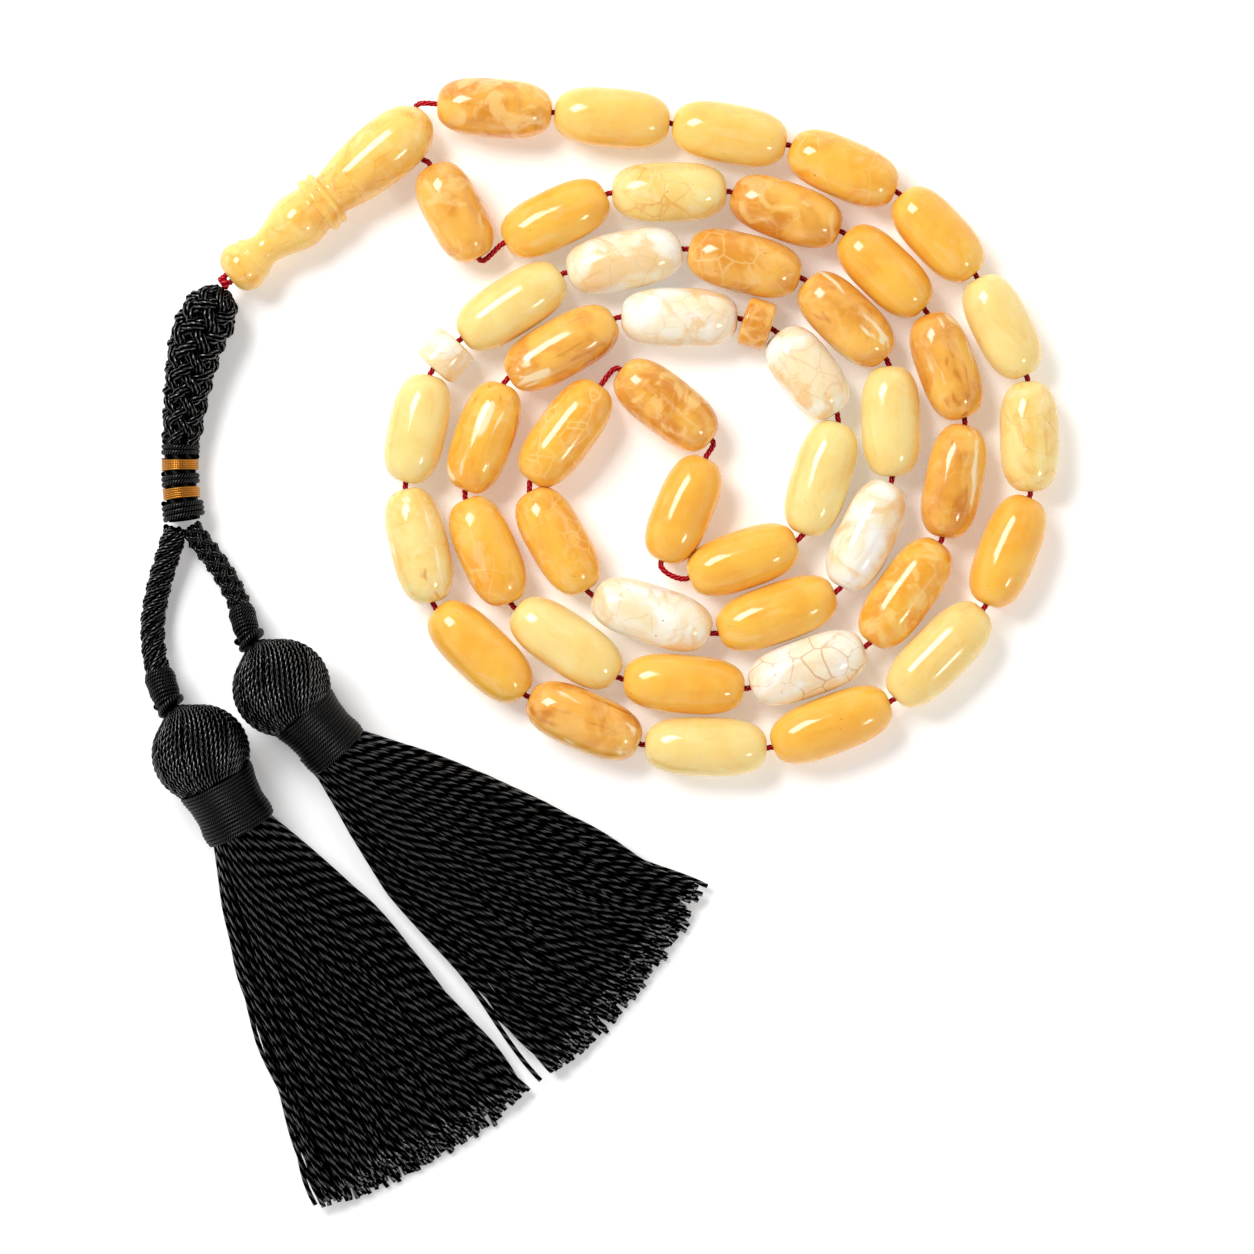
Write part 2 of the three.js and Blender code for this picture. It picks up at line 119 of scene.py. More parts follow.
area_light("key_light", (-0.43, 0.43, 0.74), (0.50, 0.34), 7.4, "#FFFFFF")
area_light("fill_light", (0.62, -0.52, 0.62), (0.17, 0.17), 1.5, "#FFF8F0")
bpy.context.scene.view_settings.view_transform = "Standard"

world = bpy.data.worlds.new("studio")
bpy.context.scene.world = world
world.use_nodes = True
sky = world.node_tree.nodes["Background"]
sky.inputs["Color"].default_value = linear("#F4F4F6")
direction = add_node(world.node_tree, "SeparateXYZ", {
    "Vector": add_node(world.node_tree, "TexCoord").outputs["Generated"]})
overhead = add_node(world.node_tree, "MapRange", {
    "Value": direction.outputs["Z"], "From Min": 0.3, "From Max": 0.95,
    "To Min": 1.0, "To Max": 0.12})
world.node_tree.links.new(overhead.outputs["Result"], sky.inputs["Strength"])

table_mesh = bpy.data.meshes.new("table")
half = TABLE_SIZE / 2
table_mesh.from_pydata([(-half, -half, 0), (half, -half, 0), (half, half, 0), (-half, half, 0)], [],
                       [(0, 1, 2, 3)])
table = bpy.data.objects.new("table", table_mesh)
bpy.context.collection.objects.link(table)
# Matt white board: its fine grain hardly shows, and a faint light of its own keeps shadows pale.
matt_white, tree, shader = new_material("matt_white_table")
grain = add_node(tree, "TexNoise", {"Scale": TABLE_GRAINS, "Detail": 2.0,
                                    "Vector": add_node(tree, "TexCoord").outputs["Object"]})
tint = add_node(tree, "ValToRGB", {"Fac": grain.outputs["Fac"]})
tint.color_ramp.elements[0].color = linear("#FAFAFA")
tint.color_ramp.elements[1].color = linear("#FFFFFF")
tree.links.new(tint.outputs["Color"], shader.inputs["Base Color"])
shader.inputs["Roughness"].default_value = 0.8
shader.inputs["Emission Color"].default_value = linear("#FFFFFF")
shader.inputs["Emission Strength"].default_value = TABLE_GLOW
table_mesh.materials.append(matt_white)

# ---- Beads, dividers and imam ----
# Turned and polished amber-coloured resin with cloudy layers, white swirls and fine cracks, each
# drilled lengthwise. They are solids of revolution about the string, with slight hand wear.
BEAD_SIDES = 48
BEAD_RINGS = 44
BEAD_RADIUS = 4.5 * MM
BEAD_BORE = 0.8 * MM
BEAD_WEAR = 0.008
DIVIDER_BORE = 1.0 * MM
# A divider is a short drum with rounded rims: shares of half its length, and radii there.
DIVIDER_PLACES = np.array([-1, -0.98, -0.93, -0.86, -0.7, 0, 0.7, 0.86, 0.93, 0.98, 1.0])
DIVIDER_RADII = np.array([1.3, 2.7, 3.2, 3.6, 3.72, 3.75, 3.72, 3.6, 3.2, 2.7, 1.3]) * MM
# The grain of each bead in the order of the string: S smooth, V veined, M mottled, T streaked
# lengthwise, C cracked.
GRAINS = "MSSVSSVSSSSTSTS" "SMVTSMSMVCMSSSM" "MTTVSSCMTTSMCSM"
# Amounts of cloud, white swirl, streak and crack in each grain.
GRAIN_AMOUNTS = {
    "S": (0.45, 0.10, 0.15, 0.10),
    "V": (0.80, 0.30, 0.30, 0.75),
    "M": (1.00, 0.58, 0.20, 0.30),
    "T": (0.80, 0.25, 1.00, 0.25),
    "C": (0.70, 0.30, 0.20, 1.00),
}
# Light and deep body colours, swirl and crack of each material slot, and how coarse its swirls are.
AMBERS = {
    "amber_pale": ("#FBDF92", "#F5C765", "#FFF0C4", "#E5A23C", 0.20),
    "amber_yellow": ("#FCD070", "#F4B54A", "#FFE4A4", "#DD9230", 0.20),
    "amber_golden": ("#FBC250", "#F0A02C", "#FDD98A", "#FCDC94", 0.20),
    "amber_brown": ("#F9C05A", "#DC9030", "#FBD68C", "#F8DA9A", 0.20),
    "amber_marbled": ("#FFFBF2", "#F8E4BA", "#F0C070", "#C48A3C", 0.11),
}
material_slots = {part["node"]: part["material_slot"] for part in frame["record"]["subparts"]}
joint_of = {joint["child"]: joint for joint in frame["joints"]}


def mesh_object(name, vertices, faces, flat_faces=(), uv=None):
    """A mesh object at the origin, smooth apart from flat_faces, with one UV pair for each corner."""
    mesh = bpy.data.meshes.new(name)
    mesh.from_pydata(vertices.reshape(-1, 3).tolist(), [], [*faces, *flat_faces])
    smooth = np.ones(len(mesh.polygons), dtype=bool)
    smooth[len(faces):] = False
    mesh.polygons.foreach_set("use_smooth", smooth)
    if uv is not None:
        mesh.uv_layers.new(name="thread").data.foreach_set("uv", uv.ravel())
    mesh.update()
    made = bpy.data.objects.new(name, mesh)
    bpy.context.collection.objects.link(made)
    return made


def closed_rings(name, points):
    """A closed ring of rings, points[ring, side], such as a drilled bead: quads that join ring n,
    side s to ring n + 1, side s + 1, both counted round."""
    rings, sides = points.shape[:2]
    index = np.arange(rings * sides).reshape(rings, sides)
    ahead = np.roll(index, -1, axis=0)
    faces = np.stack([index, np.roll(index, -1, axis=1), np.roll(ahead, -1, axis=1), ahead], axis=-1)
    return mesh_object(name, points, faces.reshape(-1, 4).tolist())


def revolved(name, start, axis, along, radius, wear=0.0, seed=0):
    """Surface of revolution: p = start + along * axis + radius * (1 + wear * w) * (cos a * side +
    sin a * up), with w = sin(2a + p1) + sin(3a + p2 + 200 * along) / 2 as slight hand wear."""
    side = np.cross(axis, UP)
    up = np.cross(side, axis)
    angle = np.linspace(0, 2 * math.pi, BEAD_SIDES, endpoint=False)
    phases = np.random.default_rng(seed).uniform(0, 2 * math.pi, 2)
    waves = np.sin(2 * angle + phases[0]) + 0.5 * np.sin(3 * angle + phases[1] + 200 * along[:, None])
    out = (radius[:, None] * (1 + wear * waves))[..., None]
    round_axis = np.cos(angle)[:, None] * side + np.sin(angle)[:, None] * up
    return closed_rings(name, start + along[:, None, None] * axis + out * -round_axis)


def bored_outline(along, radius, bore):
    """An outline from end to end, closed by four rings of the bore wall."""
    back = np.linspace(along[-1], along[0], 6)[1:-1]
    return np.concatenate([along, back]), np.concatenate([radius, np.full(4, bore)])


def mixed(tree, factor, first, second):
    """The colour (1 - factor) * first + factor * second."""
    mix = add_node(tree, "Mix", data_type="RGBA")
    for socket, value in ((0, factor), (6, first), (7, second)):
        if isinstance(value, bpy.types.NodeSocket):
            tree.links.new(value, mix.inputs[socket])
        else:
            mix.inputs[socket].default_value = value
    return mix.outputs[2]


def stepped(tree, value, low, high, top):
    """0 where value is at low, rising to top where it is at high."""
    return add_node(tree, "MapRange", {"Value": value, "From Min": low, "From Max": high,
                                       "To Max": top}, interpolation_type="SMOOTHSTEP").outputs[0]


def amber(name, slot_name, grain_name, centre, axis, seed):
    """Polished amber-coloured resin, which looks milky and deep under a sharp gloss: cloudy body,
    white swirls, lengthwise streaks, fine cracks and dark specks. Its patterns are in millimetres
    along and across this piece: clouds of 8, swirls of 5 to 9, cracks 4 apart, specks of 0.6."""
    material, tree, shader = new_material(f"polished_amber_{name}")
    cloud_amount, swirl_amount, streak_amount, crack_amount = GRAIN_AMOUNTS[grain_name]
    *colours, swirl_scale = AMBERS[slot_name]
    light, deep, pale, line = (linear(c) for c in colours)
    place = add_node(tree, "Mapping", {
        "Vector": add_node(tree, "TexCoord").outputs["Object"],
        "Location": tuple(centre),
        "Rotation": (0.0, 0.0, math.atan2(axis[1], axis[0])),
        "Scale": (MM, MM, MM),
    }, vector_type="TEXTURE").outputs["Vector"]

    cloud = add_node(tree, "TexNoise", {"Vector": place, "W": seed * 3.7, "Scale": 0.13, "Detail": 3.0,
                                        "Distortion": 0.9}, noise_dimensions="4D")
    body = mixed(tree, stepped(tree, cloud.outputs["Fac"], 0.38, 0.66, cloud_amount), light, deep)
    along = add_node(tree, "Mapping", {"Vector": place, "Scale": (0.25, 1.0, 1.0),
                                       "Rotation": (0.0, 0.0, 0.25)}).outputs["Vector"]
    streak = add_node(tree, "TexNoise", {"Vector": along, "W": seed * 5.1 + 9, "Scale": 0.32,
                                         "Detail": 2.5, "Distortion": 1.2}, noise_dimensions="4D")
    dark_streak = stepped(tree, streak.outputs["Fac"], 0.56, 0.66, 0.6 * streak_amount)
    body = mixed(tree, dark_streak, body, linear("#C9701A"))
    white_streak = stepped(tree, streak.outputs["Fac"], 0.40, 0.32, 0.8 * streak_amount)
    body = mixed(tree, white_streak, body, linear("#FFF0CC"))
    swirl = add_node(tree, "TexNoise", {"Vector": place, "W": seed * 1.9 + 4, "Scale": swirl_scale,
                                        "Detail": 5.0, "Roughness": 0.5, "Distortion": 1.8},
                     noise_dimensions="4D")
    body = mixed(tree, stepped(tree, swirl.outputs["Fac"], 0.50, 0.62, swirl_amount), body, pale)
    warp = add_node(tree, "VectorMath", {0: cloud.outputs["Color"], 1: (2.5, 2.5, 2.5), 2: place},
                    operation="MULTIPLY_ADD").outputs[0]
    warp = add_node(tree, "VectorMath", {0: swirl.outputs["Color"], 1: (0.7, 0.7, 0.7), 2: warp},
                    operation="MULTIPLY_ADD")
    cells = add_node(tree, "TexVoronoi", {"Vector": warp.outputs[0], "W": seed * 2.3, "Scale": 0.24},
                     voronoi_dimensions="4D", feature="DISTANCE_TO_EDGE")
    crack = stepped(tree, cells.outputs["Distance"], 0.04, 0.0, 0.6 * crack_amount)
    crack = add_node(tree, "Math", {0: crack, 1: stepped(tree, cloud.outputs["Fac"], 0.40, 0.60, 1.0)},
                     operation="MULTIPLY").outputs[0]
    body = mixed(tree, crack, body, line)
    speck = add_node(tree, "TexNoise", {"Vector": place, "W": seed * 0.7, "Scale": 1.6, "Detail": 1.0},
                     noise_dimensions="4D")
    body = mixed(tree, stepped(tree, speck.outputs["Fac"], 0.76, 0.80, 0.5), body, linear("#8A4A12"))

    tree.links.new(body, shader.inputs["Base Color"])
    rough = stepped(tree, swirl.outputs["Fac"], 0.3, 0.8, 0.10)
    polish = add_node(tree, "Math", {0: rough, 1: 0.08}, operation="ADD")
    tree.links.new(polish.outputs[0], shader.inputs["Roughness"])
    shader.inputs["IOR"].default_value = 1.54
    shader.inputs["Subsurface Weight"].default_value = 0.45
    shader.inputs["Subsurface Radius"].default_value = (1.0, 0.55, 0.2)
    shader.inputs["Subsurface Scale"].default_value = 2.0 * MM
    dent = add_node(tree, "Bump", {"Height": swirl.outputs["Fac"], "Strength": 0.12,
                                   "Distance": 0.1 * MM})
    tree.links.new(dent.outputs["Normal"], shader.inputs["Normal"])
    return material


def node_points(name):
    """The corners of a CAD node, as rows."""
    vertices = frame["nodes"][name].data.vertices
    points = np.empty(len(vertices) * 3)
    vertices.foreach_get("co", points)
    return points.reshape(-1, 3)


# Each bead's centre, axis and ends come from its CAD node and its joint.
string_stops = []
bead_names = [f"bead_{n:02d}" for n in range(1, 46)]
on_string = [*bead_names[:15], "divider_1", *bead_names[15:30], "divider_2", *bead_names[30:]]
for count, name in enumerate(on_string):
    low, high = (np.array(corner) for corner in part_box(name))
    centre = (low + high) / 2
    axis = np.array(joint_of[name]["axis"])
    reach = np.max((node_points(name) - centre) @ axis)
    string_stops.append((centre - reach * axis, centre + reach * axis, axis))
    if name in bead_names:
        # A barrel: at share x of half its length the radius goes by (1 - |x|^3)^(1 / 2.2).
        place = -np.cos(np.linspace(0, math.pi, BEAD_RINGS))
        barrel = (1 - np.abs(place) ** 3) ** (1 / 2.2)
        radius = BEAD_BORE + (BEAD_RADIUS - BEAD_BORE) * barrel
        outline = bored_outline(place * reach, radius, BEAD_BORE)
        grain_name = GRAINS[bead_names.index(name)]
    else:
        outline = bored_outline(DIVIDER_PLACES * reach, DIVIDER_RADII, DIVIDER_BORE)
        grain_name = "M"
    bead = revolved(f"{name}_polished", centre, axis, *outline, wear=BEAD_WEAR, seed=count)
    bead.data.materials.append(amber(name, material_slots[name], grain_name, centre, axis, count))
    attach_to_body(bead, name)
    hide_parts(name)

# The imam is turned from the same resin: a beaded foot, a neck, a vase, a double collar, and a
# long body with a round tip. Its place follows from the leg's end, which a joint marks.
LEG_ROUTES = {
    "left": [(-66.3, 15.9, 3.3), (-68.2, 9.8, 2.4), (-69.2, 4.0, 2.3), (-68.7, -1.8, 3.4),
             (-66.8, -7.6, 5.5)],
    "right": [(-62.2, 16.6, 3.1), (-58.7, 11.8, 2.3), (-56.2, 7.2, 3.0), (-54.6, 2.3, 5.5)],
}
SHIFT = np.array(joint_of["tassel_left"]["pos_m"]) - np.array(LEG_ROUTES["left"][-1]) * MM
IMAM_FOOT = np.array([-57.4, 56.2, 4.9]) * MM + SHIFT
IMAM_HEADING = math.radians(39.3)
IMAM_BORE = 0.02 * MM
IMAM_WEAR = 0.004
IMAM_SEED = 99
# Distance from the foot, and radius there.
IMAM_OUTLINE = [
    (0, 1.7), (0.1, 2.2), (0.7, 3.1), (2.1, 3.85), (3.5, 3.75), (4.2, 3.4), (4.8, 3.5), (5.6, 3.0),
    (6.9, 2.55), (8.8, 2.95), (11.2, 3.85), (13.4, 4.35), (15.4, 4.1), (16.5, 3.85), (17.0, 4.5),
    (17.6, 4.72), (18.1, 4.4), (18.5, 4.25), (19.0, 4.6), (19.5, 4.3), (20.0, 3.45), (21.4, 3.75),
    (24.5, 4.4), (28.2, 4.8), (31.4, 4.88), (34.2, 4.62), (36.2, 3.95), (37.6, 2.95), (38.5, 1.75),
    (38.85, 0.7), (38.9, 0.05),
]


def spline(points, count):
    """Catmull-Rom curve: between b and c, with a before and d after,
    p(t) = (2b + (c - a) t + (2a - 5b + 4c - d) t^2 + (3b - 3c + d - a) t^3) / 2."""
    points = np.array(points, dtype=float)
    padded = np.concatenate([[2 * points[0] - points[1]], points, [2 * points[-1] - points[-2]]])
    place = np.linspace(0, len(points) - 1, count)
    n = np.minimum(place.astype(int), len(points) - 2)
    t = (place - n)[:, None]
    a, b, c, d = (padded[n + k] for k in range(4))
    curve = 2 * b + (c - a) * t + (2 * a - 5 * b + 4 * c - d) * t**2 + (3 * b - 3 * c + d - a) * t**3
    return curve / 2


imam_axis = np.array([math.cos(IMAM_HEADING), math.sin(IMAM_HEADING), 0.0])
imam_side = np.array([-imam_axis[1], imam_axis[0], 0.0])
outline = spline(IMAM_OUTLINE, 150) * MM
bored = bored_outline(outline[:, 0], np.maximum(outline[:, 1], IMAM_BORE), IMAM_BORE)
imam = revolved("imam_polished", IMAM_FOOT, imam_axis, *bored, wear=IMAM_WEAR, seed=IMAM_SEED)
imam.data.materials.append(amber("imam", "amber_yellow", "V", IMAM_FOOT, imam_axis, IMAM_SEED))
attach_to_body(imam, "string_and_imam")
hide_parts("imam")

# ---- String ----
# Three plies of red thread twisted to a cord under 1 mm thick. Its two ends come out of the
# imam's underside near the tip, and it runs through every bead in turn.
STRING_PLIES = 3
STRING_PLY = 0.25 * MM
STRING_PLY_OFFSET = 0.21 * MM
STRING_LAY = 2.2 * MM
STRING_STEP = 0.3 * MM
STRAND_OFFSET = 0.62 * MM
STRAND_BEND = 1.6 * MM
# Each strand's way out of the imam: the place along it, the way aside, along and up, and the reach.
EXITS = {1: (34.6, (0.38, 0.80, -0.46), 4.4), -1: (32.4, (-0.80, 0.35, -0.48), 4.7)}
SLACK_BEND = 0.6
SLACK_STUB = 0.2 * MM
FIRST_BEAD_TRAVEL = 1.6 * MM
FREE_BEADS = ("bead_26", "bead_27", "bead_28", "bead_45")
# How far the twist of each thread in a bundle is shifted from the one before it, in millimetres.
PHASE_STEP = 0.99


def bezier(controls, count):
    """Bezier curve of any degree: the sum over k of C(n, k) t^k (1 - t)^(n - k) control k."""
    degree = len(controls) - 1
    t = np.linspace(0, 1, count)[:, None]
    parts = [math.comb(degree, k) * t**k * (1 - t)**(degree - k) * c for k, c in enumerate(controls)]
    return sum(parts)


def slack(start, start_way, end, end_way, straight):
    """Free string: leaves start along start_way and comes straight into end along end_way."""
    first = start + start_way * SLACK_STUB
    last = end - end_way * straight
    reach = np.linalg.norm(last - first) * SLACK_BEND / 2
    return bezier([first, first + reach * start_way, last - reach * end_way, last], 12)


def even_steps(points, step):
    """The same line, cut into even steps."""
    run = np.concatenate([[0], np.cumsum(np.linalg.norm(np.diff(points, axis=0), axis=1))])
    keep = np.concatenate([[True], np.diff(run) > 1e-9])
    even = np.linspace(0, run[-1], max(int(run[-1] / step), 2))
    return np.stack([np.interp(even, run[keep], points[keep, k]) for k in range(3)], axis=-1)


def frames(paths):
    """Tangent, side and up at each point of paths[path, point], with the side carried along so
    that it never turns about the path."""
    tangent = np.gradient(paths, axis=1)
    tangent /= np.linalg.norm(tangent, axis=2, keepdims=True)
    start = tangent[:, 0]
    helper = np.where(np.abs(start[:, 2:]) > 0.9, np.array([[1.0, 0, 0]]), UP)
    side = np.empty_like(paths)
    side[:, 0] = np.cross(start, helper)
    for n in range(paths.shape[1]):
        before = side[:, max(n - 1, 0)]
        level = before - tangent[:, n] * np.sum(before * tangent[:, n], axis=1, keepdims=True)
        side[:, n] = level / np.linalg.norm(level, axis=1, keepdims=True)
    return tangent, side, np.cross(tangent, side)


def run_along(paths):
    """Distance along each path at each of its points."""
    steps = np.linalg.norm(np.diff(paths, axis=1), axis=2)
    return np.concatenate([np.zeros((len(paths), 1)), np.cumsum(steps, axis=1)], axis=1)


def twisted(routes, count, offset, pitch):
    """Plies wound round each of routes[route, point]: p = route + offset (cos a side + sin a up),
    where a = 2 pi (s / pitch + k / count) for ply k at distance s."""
    _, side, up = (part[:, None] for part in frames(routes))
    turns = run_along(routes)[:, None] / pitch + np.arange(count)[:, None] / count
    angle = 2 * math.pi * turns[..., None]
    offset = np.broadcast_to(offset, routes.shape[:2])[:, None, :, None]
    plies = routes[:, None] + offset * (np.cos(angle) * side + np.sin(angle) * up)
    return plies.reshape(-1, *routes.shape[1:])


def tubes(name, paths, radius, sides=8):
    """Closed tubes round paths[path, point]: p = path + radius (cos a side + sin a up). Their UV is
    the turn about the tube, and the distance along it in millimetres."""
    count, points = paths.shape[:2]
    _, side, up = frames(paths)
    angle = np.linspace(0, 2 * math.pi, sides, endpoint=False)[:, None]
    radius = np.broadcast_to(radius, (count, points))[..., None, None]
    spokes = np.cos(angle) * side[:, :, None] + np.sin(angle) * up[:, :, None]
    rings = paths[:, :, None] + radius * spokes
    index = np.arange(count * points * sides).reshape(count, points, sides)
    turned = np.roll(index, -1, axis=2)
    quads = np.stack([index[:, :-1], turned[:, :-1], turned[:, 1:], index[:, 1:]], axis=-1)
    turn = np.broadcast_to(np.arange(sides) / sides, quads.shape[:-1])
    run = run_along(paths) / MM + PHASE_STEP * np.arange(count)[:, None]
    run = np.broadcast_to(run[..., None], index.shape)
    u = np.stack([turn, turn + 1 / sides, turn + 1 / sides, turn], axis=-1)
    v = np.stack([run[:, :-1], run[:, :-1], run[:, 1:], run[:, 1:]], axis=-1)
    caps = [*index[:, 0, ::-1].tolist(), *index[:, -1].tolist()]
    uv = np.concatenate([np.stack([u, v], axis=-1).reshape(-1, 2), np.zeros((2 * count * sides, 2))])
    return mesh_object(name, rings, quads.reshape(-1, 4).tolist(), caps, uv)


def thread_material(name, base, painted_glint, plies, pitch, roughness, gloss, depth):
    """Spun thread: plies that wind round the tube show as rounded ridges, from
    |sin(pi (plies u + v / pitch))|, with fine fibres. The colour on top of each ridge is a painted
    highlight, mixed over the base colour between them. The pitch is in millimetres, and is drawn
    coarser than that of real thread so that it shows."""
    material, tree, shader = new_material(name)
    place = add_node(tree, "SeparateXYZ", {"Vector": add_node(tree, "TexCoord").outputs["UV"]})
    wound = add_node(tree, "Math", {0: place.outputs["Y"], 1: 1 / pitch}, operation="MULTIPLY")
    turn = add_node(tree, "Math", {0: place.outputs["X"], 1: float(plies), 2: wound.outputs[0]},
                    operation="MULTIPLY_ADD")
    phase = add_node(tree, "Math", {0: turn.outputs[0], 1: math.pi}, operation="MULTIPLY")
    wave = add_node(tree, "Math", {0: phase.outputs[0]}, operation="SINE")
    ridge = add_node(tree, "Math", {0: wave.outputs[0]}, operation="ABSOLUTE")
    fibre = add_node(tree, "TexNoise", {"Vector": add_node(tree, "TexCoord").outputs["Object"],
                                        "Scale": 3500.0, "Detail": 2.0})
    # crest marks the top of each ply: the specular rises there, and the base colour is mixed towards a painted
    # highlight.
    crest = stepped(tree, ridge.outputs[0], 0.75, 1.0, 1.0)
    tree.links.new(mixed(tree, crest, linear(base), linear(painted_glint)), shader.inputs["Base Color"])
    tree.links.new(crest, shader.inputs["Specular IOR Level"])
    height = add_node(tree, "Math", {0: fibre.outputs["Fac"], 1: 0.25, 2: ridge.outputs[0]},
                      operation="MULTIPLY_ADD")
    bump = add_node(tree, "Bump", {"Height": height.outputs[0], "Distance": depth})
    tree.links.new(bump.outputs["Normal"], shader.inputs["Normal"])
    shader.inputs["Roughness"].default_value = roughness
    shader.inputs["IOR"].default_value = gloss
    return material


def exit_of(strand, reach):
    """A point on a strand's way out of the imam, strand 1 or -1, at that distance."""
    place, (aside, ahead, up), _ = EXITS[strand]
    way = aside * imam_side + ahead * imam_axis + up * UP
    start = IMAM_FOOT + place * MM * imam_axis + strand * STRAND_OFFSET * imam_side
    return start + reach * way / np.linalg.norm(way), way / np.linalg.norm(way)


def strand_in_imam(strand):
    """Up the bore beside the other strand, and out through its own exit."""
    foot = IMAM_FOOT - 0.5 * MM * imam_axis + strand * STRAND_OFFSET * imam_side
    turn = exit_of(strand, 0)[0]
    bend = bezier([turn - STRAND_BEND * imam_axis, turn, exit_of(strand, STRAND_BEND)[0]], 8)
    return np.concatenate([[foot], bend, [exit_of(strand, EXITS[strand][2] * MM)[0]]])


string_parts = [strand_in_imam(1)]
leaves, leaves_way = exit_of(1, EXITS[1][2] * MM)
for name, (entry, leave, axis) in zip(on_string, string_stops):
    if name == "bead_01":
        string_parts.append(slack(leaves, leaves_way, entry, axis, FIRST_BEAD_TRAVEL))
    elif name in FREE_BEADS:
        string_parts.append(slack(leaves, leaves_way, entry, axis, SLACK_STUB))
    string_parts.append(np.array([entry, leave]))
    leaves, leaves_way = leave, axis
home, home_way = exit_of(-1, EXITS[-1][2] * MM)
string_parts.append(slack(leaves, leaves_way, home, -home_way, SLACK_STUB))
string_parts.append(strand_in_imam(-1)[::-1])
string_route = even_steps(np.concatenate(string_parts), STRING_STEP)
# Polished polyester thread: deep red between its plies, with a brighter red painted highlight on their tops.
red_thread = thread_material("twisted_red_thread", "#8E0716", "#DA1428", 2, 0.5, 0.5, 1.4, 0.03 * MM)
string_plies = twisted(string_route[None], STRING_PLIES, STRING_PLY_OFFSET, STRING_LAY)
string = tubes("string_twisted", string_plies, STRING_PLY, 6)
string.data.materials.append(red_thread)
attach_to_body(string, "string_and_imam")
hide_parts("string")

# The two ends are knotted together just outside the imam's foot.
KNOT_TURNS = 2.5
KNOT_THREAD = 0.42 * MM
turn = np.linspace(0, 2 * math.pi * KNOT_TURNS, 90)
knot_radius = (0.62 + 0.14 * np.sin(turn * 1.7)) * MM
knot_line = (IMAM_FOOT - (0.75 + 0.55 * turn / turn[-1])[:, None] * MM * imam_axis
             + knot_radius[:, None] * (np.cos(turn)[:, None] * imam_side + np.sin(turn)[:, None] * UP))
knot = tubes("string_knot", knot_line[None], KNOT_THREAD, 10)
knot.data.materials.append(red_thread)
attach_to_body(knot, "string_and_imam")

# ---- Stem ----
# A round braid of thick black strands that thins towards the fork, then black thread bindings
# with two bands of fine gilt thread between them.
STEM_ROUTE = [(-58.5, 54.2, 4.9), (-60.5, 50.6, 4.7), (-62.3, 46.8, 4.4), (-63.7, 40.5, 3.8),
              (-64.8, 31.9, 3.2), (-65.0, 27.2, 3.1), (-64.7, 22.6, 3.35), (-64.2, 18.7, 3.5)]
BRAID_TOP = (-58.2, 54.74, 4.93)
BRAID_SPAN = (0.3 * MM, 25.0 * MM)
# Distance along the braid in millimetres, and its radius there.
BRAID_PLACES = [0, 0.8, 2.0, 4.0, 8.0, 14.5, 24.7]
BRAID_RADII = np.array([1.2, 2.4, 3.5, 4.3, 4.3, 3.7, 2.9]) * MM
BRAID_CARRIERS = 5
BRAID_PITCH = 17 * MM
BRAID_LAY = 3.4 * MM
PATH_STEP = 0.22 * MM
# Start, end and radius of each binding in millimetres along the stem, and of the core under them.
BLACK_BINDINGS = [(24.4, 27.2, 2.95), (29.1, 31.6, 2.95), (33.4, 36.6, 3.25)]
BINDING_CORE = (24.4 * MM, 36.6 * MM, 2.4 * MM)
BINDING_INSET = 0.4
GOLD_BANDS = {"gold_band_upper": (27.3, 29.0), "gold_band_lower": (31.7, 33.3)}
BAND_RADIUS = 2.85 * MM
BINDING_THREAD = 0.42 * MM
GOLD_THREAD = 0.17 * MM


def route_through(points, step=0.4 * MM):
    """Even steps along the smooth curve through a route's points."""
    return even_steps(spline(np.array(points) * MM + SHIFT, 60 * len(points)), step)


def braided(route, radius, carriers, pitch, weave):
    """Round braid: carriers turn each way at a = 2 pi (+-s / pitch + k / carriers), and pass over
    and under each other by +-weave cos(2 pi carriers s / pitch) from the mean radius."""
    _, side, up = frames(route[None])
    run = run_along(route[None])
    strands = []
    for way in (1, -1):
        angle = 2 * math.pi * (way * run / pitch + np.arange(carriers)[:, None] / carriers)
        out = radius + way * weave * np.cos(2 * math.pi * carriers * run / pitch)
        spread = np.cos(angle)[..., None] * side + np.sin(angle)[..., None] * up
        strands.append(route + out[..., None] * spread)
    return np.concatenate(strands)


def part_of(route, start, end, step=0.1 * MM):
    """The stretch of a route between two distances along it."""
    run = run_along(route[None])[0]
    places = np.linspace(start, end, max(int((end - start) / step), 3))
    return np.stack([np.interp(places, run, route[:, k]) for k in range(3)], axis=-1)


def coiled(route, radius, thread):
    """One thread wound close round a route, from end to end, at that outer radius."""
    length = run_along(route[None])[0, -1]
    turns = max(length / (1.9 * thread), 1)
    share = np.linspace(0, 1, int(30 * turns))
    centre = np.stack([np.interp(share, np.linspace(0, 1, len(route)), route[:, k]) for k in range(3)],
                      axis=-1)
    _, side, up = frames(centre[None])
    angle = 2 * math.pi * turns * share[:, None]
    out = np.interp(share, np.linspace(0, 1, np.size(radius)), np.ravel(radius))[:, None] - thread
    return (centre + out * (np.cos(angle) * side[0] + np.sin(angle) * up[0]))[None]


def attach(piece, material, body, slot_name, *nodes):
    """Gives a piece its material and its body, and hides the CAD nodes that it stands for. slot_name is not used.
    """
    piece.data.materials.append(material)
    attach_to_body(piece, body)
    if nodes:
        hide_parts(*nodes)
